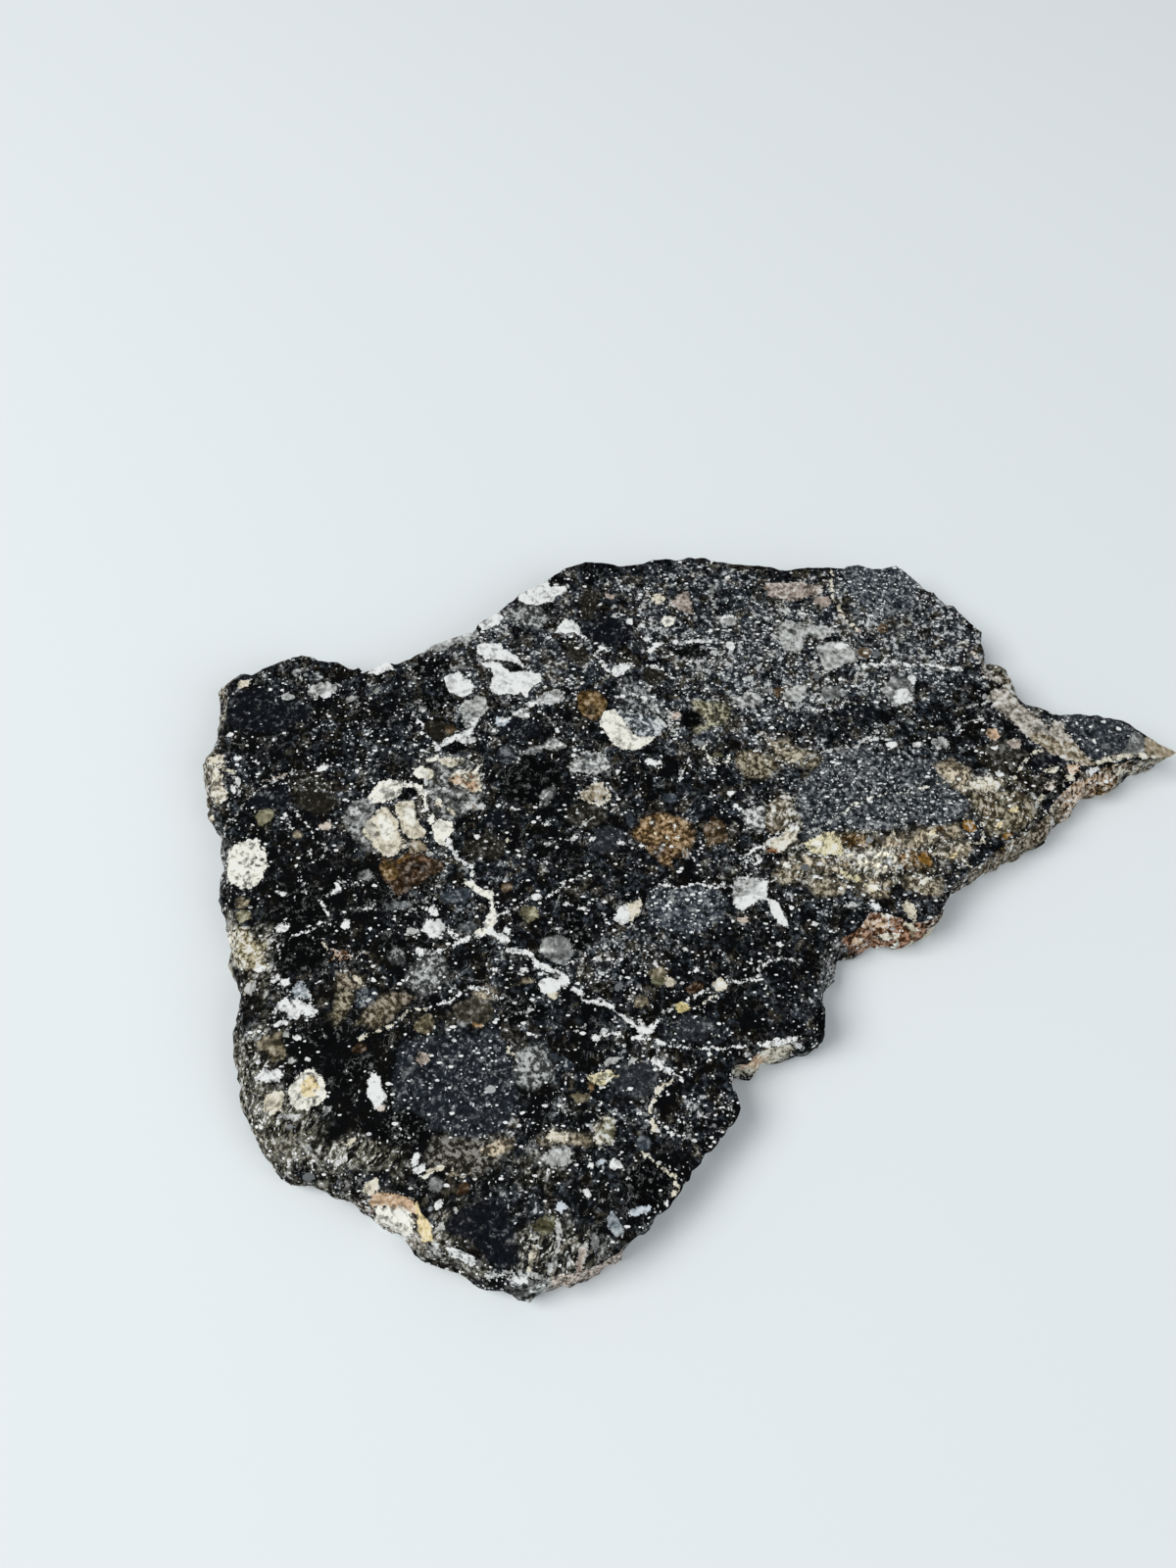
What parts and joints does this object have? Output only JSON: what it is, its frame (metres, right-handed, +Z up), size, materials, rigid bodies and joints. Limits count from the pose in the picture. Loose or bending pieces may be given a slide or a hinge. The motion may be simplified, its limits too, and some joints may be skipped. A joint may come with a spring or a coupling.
{
  "type": "meteorite slice",
  "caption": "Thin slice of a black brecciated stone meteorite, sawn flat on both faces, with a rough weathered rim and one pointed end; it lies flat.",
  "frame": {"origin": "middle of the slice's sawn underside, which lies on the ground", "axes": "+X along the slice towards its pointed tip, +Y towards its far rounded edge, +Z up through its thickness"},
  "size_m": [0.0724, 0.0558, 0.0032],
  "materials": {
    "meteorite_stone": "satin"
  },
  "bodies": {
    "root": {"meteorite_slice": "meteorite_stone"}
  },
  "joints": []
}
